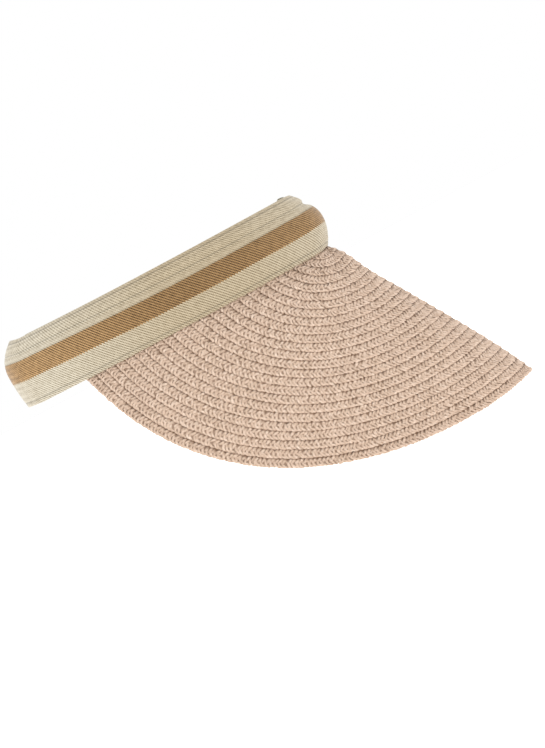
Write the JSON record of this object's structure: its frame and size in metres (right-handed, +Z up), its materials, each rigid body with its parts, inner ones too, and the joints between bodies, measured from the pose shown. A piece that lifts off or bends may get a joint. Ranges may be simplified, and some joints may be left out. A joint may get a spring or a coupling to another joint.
{
  "type": "sun visor",
  "caption": "Wide-brim roll-up sun visor of sewn paper braid on a striped twill band that closes with a hook-and-loop strap.",
  "frame": {"origin": "centre of the head opening, level with the band's lower edge", "axes": "+Z up on the head, -Y to the front, +X to the wearer's left"},
  "size_m": [0.173, 0.2778, 0.1673],
  "materials": {
    "paper_braid": "matt plaited paper straw, blush pink",
    "paper_braid_edge": "matt plaited paper straw, doubled at the edge",
    "striped_twill": "cotton twill webbing, cream with a tan stripe",
    "stiffener": "stiff interlining",
    "lining": "plain cotton",
    "sweat_pad": "brushed cotton over foam, olive grey",
    "thread": "spun polyester thread",
    "hook_tape": "moulded nylon hooks",
    "loop_tape": "napped nylon loops",
    "label": "blank satin tape"
  },
  "bodies": {
    "band": {"braid_row_01": "paper_braid", "braid_row_02": "paper_braid", "braid_row_03": "paper_braid", "braid_row_04": "paper_braid", "braid_row_05": "paper_braid", "braid_row_06": "paper_braid", "braid_row_07": "paper_braid", "braid_row_08": "paper_braid", "braid_row_09": "paper_braid", "braid_row_10": "paper_braid", "braid_row_11": "paper_braid", "braid_row_12": "paper_braid", "braid_row_13": "paper_braid", "braid_row_14": "paper_braid", "braid_row_15": "paper_braid", "braid_row_16": "paper_braid", "braid_row_17": "paper_braid", "braid_row_18": "paper_braid", "braid_row_19": "paper_braid", "braid_row_20": "paper_braid", "braid_row_21": "paper_braid", "braid_row_22": "paper_braid", "braid_row_23": "paper_braid", "braid_row_24": "paper_braid", "brim_edge_row": "paper_braid_edge", "brim_heading_tape": "stiffener", "band_webbing": "striped_twill", "band_stiffener": "stiffener", "band_lining": "lining", "forehead_pad": "sweat_pad", "care_label": "label", "band_end_hem_at_strap": "striped_twill", "band_end_hem_under_strap": "striped_twill", "closure_strap_root": "striped_twill", "loop_patch": "loop_tape", "brim_seam_stitching": "thread", "strap_root_stitching": "thread"},
    "strap": {"closure_strap": "striped_twill", "closure_strap_tip_hem": "striped_twill", "hook_patch": "hook_tape", "strap_patch_stitching": "thread"}
  },
  "joints": [
    {"name": "strap_peel", "type": "hinge", "parent": "band", "child": "strap", "pos_m": [0.03669, 0.08407, 0.02], "axis": [0, 0, 1], "range_deg": [0, 110]}
  ]
}
